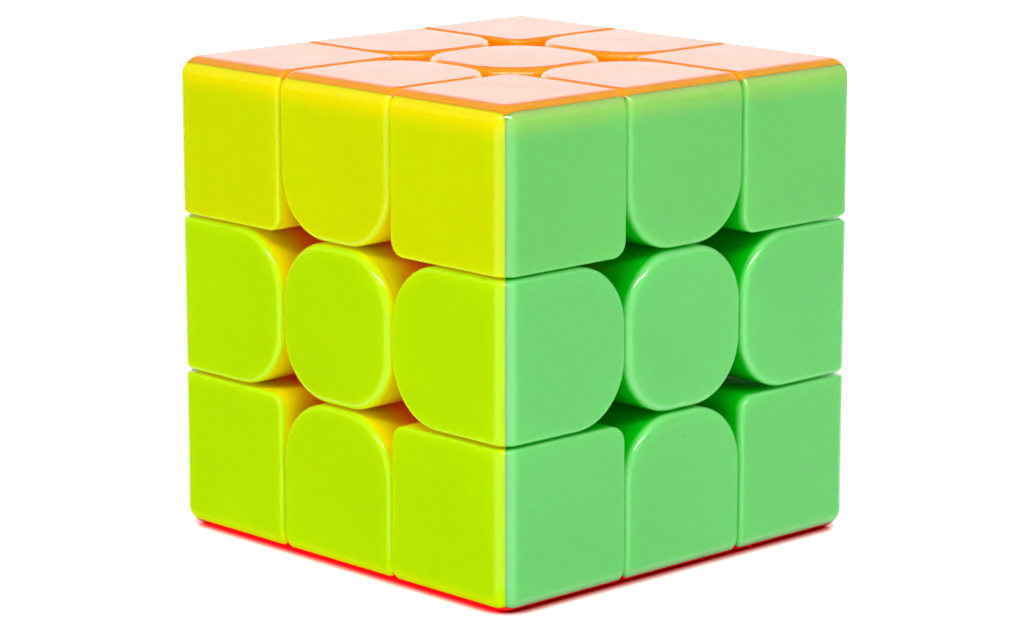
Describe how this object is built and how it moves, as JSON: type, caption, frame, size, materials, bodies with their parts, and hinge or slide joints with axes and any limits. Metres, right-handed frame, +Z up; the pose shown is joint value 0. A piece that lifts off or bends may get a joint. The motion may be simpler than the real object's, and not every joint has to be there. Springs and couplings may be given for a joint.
{
  "type": "twisty puzzle cube",
  "caption": "Stickerless cube puzzle of coloured plastic cubies in layers that turn about a hidden six-armed core, with star-shaped windows round each centre.",
  "frame": {"origin": "middle of the bottom face, on the surface the cube stands on; the centre of all turns is 28 mm above it", "axes": "+Z up through the orange face; the green face looks along -Y (front), the yellow face along -X (left), the white face along +X, the blue face along +Y, and the red face is underneath"},
  "size_m": [0.056, 0.056, 0.056],
  "materials": {
    "orange_plastic": "solid orange plastic, semi-gloss",
    "yellow_plastic": "solid fluorescent yellow plastic, semi-gloss",
    "green_plastic": "solid light green plastic, semi-gloss",
    "red_plastic": "solid red plastic, semi-gloss",
    "blue_plastic": "solid blue plastic, semi-gloss",
    "white_plastic": "solid white plastic, semi-gloss",
    "core_plastic": "moulded off-white nylon, matte",
    "steel": "zinc-plated steel"
  },
  "bodies": {
    "core": {"core": "core_plastic", "screws": "steel", "washers": "steel", "springs": "steel"},
    "centre_u": {"centre_u_orange": "orange_plastic"},
    "centre_d": {"centre_d_red": "red_plastic"},
    "centre_f": {"centre_f_green": "green_plastic"},
    "centre_b": {"centre_b_blue": "blue_plastic"},
    "centre_l": {"centre_l_yellow": "yellow_plastic"},
    "centre_r": {"centre_r_white": "white_plastic"},
    "edge_uf": {"edge_uf_orange": "orange_plastic", "edge_uf_green": "green_plastic"},
    "edge_ub": {"edge_ub_orange": "orange_plastic", "edge_ub_blue": "blue_plastic"},
    "edge_ul": {"edge_ul_orange": "orange_plastic", "edge_ul_yellow": "yellow_plastic"},
    "edge_ur": {"edge_ur_orange": "orange_plastic", "edge_ur_white": "white_plastic"},
    "edge_df": {"edge_df_red": "red_plastic", "edge_df_green": "green_plastic"},
    "edge_db": {"edge_db_red": "red_plastic", "edge_db_blue": "blue_plastic"},
    "edge_dl": {"edge_dl_red": "red_plastic", "edge_dl_yellow": "yellow_plastic"},
    "edge_dr": {"edge_dr_red": "red_plastic", "edge_dr_white": "white_plastic"},
    "edge_fr": {"edge_fr_green": "green_plastic", "edge_fr_white": "white_plastic"},
    "edge_fl": {"edge_fl_green": "green_plastic", "edge_fl_yellow": "yellow_plastic"},
    "edge_br": {"edge_br_blue": "blue_plastic", "edge_br_white": "white_plastic"},
    "edge_bl": {"edge_bl_blue": "blue_plastic", "edge_bl_yellow": "yellow_plastic"},
    "corner_ufr": {"corner_ufr_orange": "orange_plastic", "corner_ufr_green": "green_plastic", "corner_ufr_white": "white_plastic"},
    "corner_ufl": {"corner_ufl_orange": "orange_plastic", "corner_ufl_green": "green_plastic", "corner_ufl_yellow": "yellow_plastic"},
    "corner_ubr": {"corner_ubr_orange": "orange_plastic", "corner_ubr_blue": "blue_plastic", "corner_ubr_white": "white_plastic"},
    "corner_ubl": {"corner_ubl_orange": "orange_plastic", "corner_ubl_blue": "blue_plastic", "corner_ubl_yellow": "yellow_plastic"},
    "corner_dfr": {"corner_dfr_red": "red_plastic", "corner_dfr_green": "green_plastic", "corner_dfr_white": "white_plastic"},
    "corner_dfl": {"corner_dfl_red": "red_plastic", "corner_dfl_green": "green_plastic", "corner_dfl_yellow": "yellow_plastic"},
    "corner_dbr": {"corner_dbr_red": "red_plastic", "corner_dbr_blue": "blue_plastic", "corner_dbr_white": "white_plastic"},
    "corner_dbl": {"corner_dbl_red": "red_plastic", "corner_dbl_blue": "blue_plastic", "corner_dbl_yellow": "yellow_plastic"}
  },
  "joints": [
    {"name": "up_turn", "type": "hinge", "parent": "core", "child": "centre_u", "pos_m": [0, 0, 0.028], "axis": [0, 0, 1], "continuous": true},
    {"name": "down_turn", "type": "hinge", "parent": "core", "child": "centre_d", "pos_m": [0, 0, 0.028], "axis": [0, 0, -1], "continuous": true},
    {"name": "front_turn", "type": "hinge", "parent": "core", "child": "centre_f", "pos_m": [0, 0, 0.028], "axis": [0, -1, 0], "continuous": true},
    {"name": "back_turn", "type": "hinge", "parent": "core", "child": "centre_b", "pos_m": [0, 0, 0.028], "axis": [0, 1, 0], "continuous": true},
    {"name": "left_turn", "type": "hinge", "parent": "core", "child": "centre_l", "pos_m": [0, 0, 0.028], "axis": [-1, 0, 0], "continuous": true},
    {"name": "right_turn", "type": "hinge", "parent": "core", "child": "centre_r", "pos_m": [0, 0, 0.028], "axis": [1, 0, 0], "continuous": true},
    {"name": "edge_ub_turn", "type": "hinge", "parent": "centre_u", "child": "edge_ub", "pos_m": [0, 0, 0.028], "axis": [0, 1, 0], "continuous": true},
    {"name": "edge_uf_turn", "type": "hinge", "parent": "centre_u", "child": "edge_uf", "pos_m": [0, 0, 0.028], "axis": [0, -1, 0], "continuous": true},
    {"name": "edge_ul_turn", "type": "hinge", "parent": "centre_u", "child": "edge_ul", "pos_m": [0, 0, 0.028], "axis": [-1, 0, 0], "continuous": true},
    {"name": "edge_ur_turn", "type": "hinge", "parent": "centre_u", "child": "edge_ur", "pos_m": [0, 0, 0.028], "axis": [1, 0, 0], "continuous": true},
    {"name": "edge_df_turn", "type": "hinge", "parent": "centre_f", "child": "edge_df", "pos_m": [0, 0, 0.028], "axis": [0, 0, -1], "continuous": true},
    {"name": "edge_db_turn", "type": "hinge", "parent": "centre_b", "child": "edge_db", "pos_m": [0, 0, 0.028], "axis": [0, 0, -1], "continuous": true},
    {"name": "edge_dl_turn", "type": "hinge", "parent": "centre_l", "child": "edge_dl", "pos_m": [0, 0, 0.028], "axis": [0, 0, -1], "continuous": true},
    {"name": "edge_dr_turn", "type": "hinge", "parent": "centre_r", "child": "edge_dr", "pos_m": [0, 0, 0.028], "axis": [0, 0, -1], "continuous": true},
    {"name": "edge_fl_turn", "type": "hinge", "parent": "centre_l", "child": "edge_fl", "pos_m": [0, 0, 0.028], "axis": [0, -1, 0], "continuous": true},
    {"name": "edge_fr_turn", "type": "hinge", "parent": "centre_f", "child": "edge_fr", "pos_m": [0, 0, 0.028], "axis": [1, 0, 0], "continuous": true},
    {"name": "edge_br_turn", "type": "hinge", "parent": "centre_r", "child": "edge_br", "pos_m": [0, 0, 0.028], "axis": [0, 1, 0], "continuous": true},
    {"name": "edge_bl_turn", "type": "hinge", "parent": "centre_b", "child": "edge_bl", "pos_m": [0, 0, 0.028], "axis": [-1, 0, 0], "continuous": true},
    {"name": "corner_ufr_turn", "type": "hinge", "parent": "edge_fr", "child": "corner_ufr", "pos_m": [0, 0, 0.028], "axis": [0, 0, 1], "continuous": true},
    {"name": "corner_ufl_turn", "type": "hinge", "parent": "edge_fl", "child": "corner_ufl", "pos_m": [0, 0, 0.028], "axis": [0, 0, 1], "continuous": true},
    {"name": "corner_ubr_turn", "type": "hinge", "parent": "edge_br", "child": "corner_ubr", "pos_m": [0, 0, 0.028], "axis": [0, 0, 1], "continuous": true},
    {"name": "corner_ubl_turn", "type": "hinge", "parent": "edge_bl", "child": "corner_ubl", "pos_m": [0, 0, 0.028], "axis": [0, 0, 1], "continuous": true},
    {"name": "corner_dfr_turn", "type": "hinge", "parent": "edge_fr", "child": "corner_dfr", "pos_m": [0, 0, 0.028], "axis": [0, 0, -1], "continuous": true},
    {"name": "corner_dfl_turn", "type": "hinge", "parent": "edge_fl", "child": "corner_dfl", "pos_m": [0, 0, 0.028], "axis": [0, 0, -1], "continuous": true},
    {"name": "corner_dbr_turn", "type": "hinge", "parent": "edge_br", "child": "corner_dbr", "pos_m": [0, 0, 0.028], "axis": [0, 0, -1], "continuous": true},
    {"name": "corner_dbl_turn", "type": "hinge", "parent": "edge_bl", "child": "corner_dbl", "pos_m": [0, 0, 0.028], "axis": [0, 0, -1], "continuous": true}
  ],
  "couplings": [
    {"joint": "edge_ub_turn", "follows": "back_turn", "ratio": 1},
    {"joint": "edge_uf_turn", "follows": "front_turn", "ratio": 1},
    {"joint": "edge_ul_turn", "follows": "left_turn", "ratio": 1},
    {"joint": "edge_ur_turn", "follows": "right_turn", "ratio": 1},
    {"joint": "edge_df_turn", "follows": "down_turn", "ratio": 1},
    {"joint": "edge_db_turn", "follows": "down_turn", "ratio": 1},
    {"joint": "edge_dl_turn", "follows": "down_turn", "ratio": 1},
    {"joint": "edge_dr_turn", "follows": "down_turn", "ratio": 1},
    {"joint": "edge_fl_turn", "follows": "front_turn", "ratio": 1},
    {"joint": "edge_fr_turn", "follows": "right_turn", "ratio": 1},
    {"joint": "edge_br_turn", "follows": "back_turn", "ratio": 1},
    {"joint": "edge_bl_turn", "follows": "left_turn", "ratio": 1},
    {"joint": "corner_ufr_turn", "follows": "up_turn", "ratio": 1},
    {"joint": "corner_ufl_turn", "follows": "up_turn", "ratio": 1},
    {"joint": "corner_ubr_turn", "follows": "up_turn", "ratio": 1},
    {"joint": "corner_ubl_turn", "follows": "up_turn", "ratio": 1},
    {"joint": "corner_dfr_turn", "follows": "down_turn", "ratio": 1},
    {"joint": "corner_dfl_turn", "follows": "down_turn", "ratio": 1},
    {"joint": "corner_dbr_turn", "follows": "down_turn", "ratio": 1},
    {"joint": "corner_dbl_turn", "follows": "down_turn", "ratio": 1}
  ]
}
